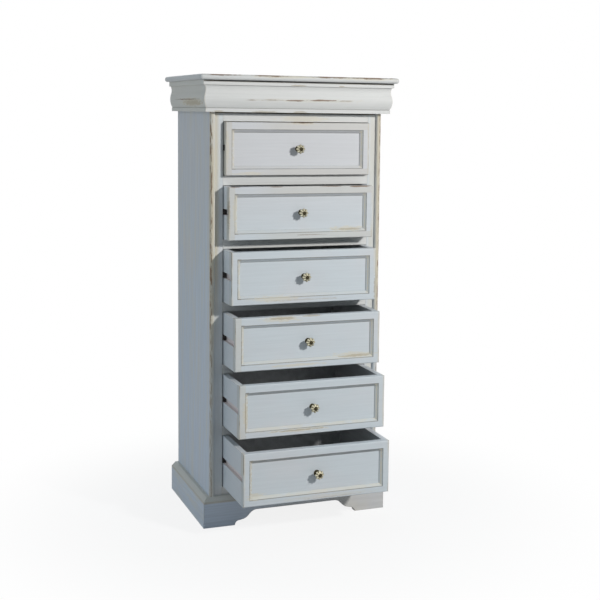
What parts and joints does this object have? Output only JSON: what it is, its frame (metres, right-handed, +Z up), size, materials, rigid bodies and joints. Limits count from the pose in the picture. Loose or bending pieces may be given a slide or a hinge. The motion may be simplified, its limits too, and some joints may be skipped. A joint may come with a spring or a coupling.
{
  "type": "tall chest of drawers",
  "caption": "Tall narrow painted chest whose stacked panelled drawers slide out on side runners under an ogee cornice drawer, on a plinth sawn to bracket feet.",
  "frame": {"origin": "on the floor at the middle of the chest's back face", "axes": "+X to the right as seen from the front, +Y to the back, +Z up"},
  "size_m": [0.577, 0.571, 1.25],
  "materials": {
    "painted_wood": "off-white paint, rubbed through at the edges",
    "bare_wood": "bare, dry pine",
    "dark_runner": "waxed, blackened",
    "knob_metal": "aged, dull"
  },
  "bodies": {
    "chest": {"back_panel": "bare_wood", "bottom_board": "bare_wood", "bottom_rail": "painted_wood", "corner_blocks": "bare_wood", "cornice_left": "painted_wood", "cornice_right": "painted_wood", "divider_rails": "painted_wood", "drawer_runners": "dark_runner", "plinth_back": "bare_wood", "plinth_front": "painted_wood", "plinth_left": "painted_wood", "plinth_right": "painted_wood", "runner_battens": "bare_wood", "side_panel_left": "painted_wood", "side_panel_right": "painted_wood", "stile_left": "painted_wood", "stile_right": "painted_wood", "top_board": "painted_wood", "top_rail": "painted_wood"},
    "drawer_1": {"drawer_1_back": "bare_wood", "drawer_1_bottom": "bare_wood", "drawer_1_front": "painted_wood", "drawer_1_knob": "knob_metal", "drawer_1_side_left": "painted_wood", "drawer_1_side_right": "painted_wood"},
    "drawer_2": {"drawer_2_back": "bare_wood", "drawer_2_bottom": "bare_wood", "drawer_2_front": "painted_wood", "drawer_2_knob": "knob_metal", "drawer_2_side_left": "painted_wood", "drawer_2_side_right": "painted_wood"},
    "drawer_3": {"drawer_3_back": "bare_wood", "drawer_3_bottom": "bare_wood", "drawer_3_front": "painted_wood", "drawer_3_knob": "knob_metal", "drawer_3_side_left": "painted_wood", "drawer_3_side_right": "painted_wood"},
    "drawer_4": {"drawer_4_back": "bare_wood", "drawer_4_bottom": "bare_wood", "drawer_4_front": "painted_wood", "drawer_4_knob": "knob_metal", "drawer_4_side_left": "painted_wood", "drawer_4_side_right": "painted_wood"},
    "drawer_5": {"drawer_5_back": "bare_wood", "drawer_5_bottom": "bare_wood", "drawer_5_front": "painted_wood", "drawer_5_knob": "knob_metal", "drawer_5_side_left": "painted_wood", "drawer_5_side_right": "painted_wood"},
    "drawer_6": {"drawer_6_back": "bare_wood", "drawer_6_bottom": "bare_wood", "drawer_6_front": "painted_wood", "drawer_6_knob": "knob_metal", "drawer_6_side_left": "painted_wood", "drawer_6_side_right": "painted_wood"},
    "frieze_drawer": {"frieze_drawer_back": "bare_wood", "frieze_drawer_bottom": "bare_wood", "frieze_drawer_front": "painted_wood", "frieze_drawer_side_left": "painted_wood", "frieze_drawer_side_right": "painted_wood"}
  },
  "joints": [
    {"name": "drawer_1_slide", "type": "slide", "parent": "chest", "child": "drawer_1", "axis": [0, -1, 0], "range_m": [-0.008, 0.272]},
    {"name": "drawer_2_slide", "type": "slide", "parent": "chest", "child": "drawer_2", "axis": [0, -1, 0], "range_m": [-0.039, 0.241]},
    {"name": "drawer_3_slide", "type": "slide", "parent": "chest", "child": "drawer_3", "axis": [0, -1, 0], "range_m": [-0.068, 0.212]},
    {"name": "drawer_4_slide", "type": "slide", "parent": "chest", "child": "drawer_4", "axis": [0, -1, 0], "range_m": [-0.104, 0.176]},
    {"name": "drawer_5_slide", "type": "slide", "parent": "chest", "child": "drawer_5", "axis": [0, -1, 0], "range_m": [-0.145, 0.135]},
    {"name": "drawer_6_slide", "type": "slide", "parent": "chest", "child": "drawer_6", "axis": [0, -1, 0], "range_m": [-0.185, 0.095]},
    {"name": "frieze_drawer_slide", "type": "slide", "parent": "chest", "child": "frieze_drawer", "axis": [0, -1, 0], "range_m": [0, 0.24]}
  ]
}
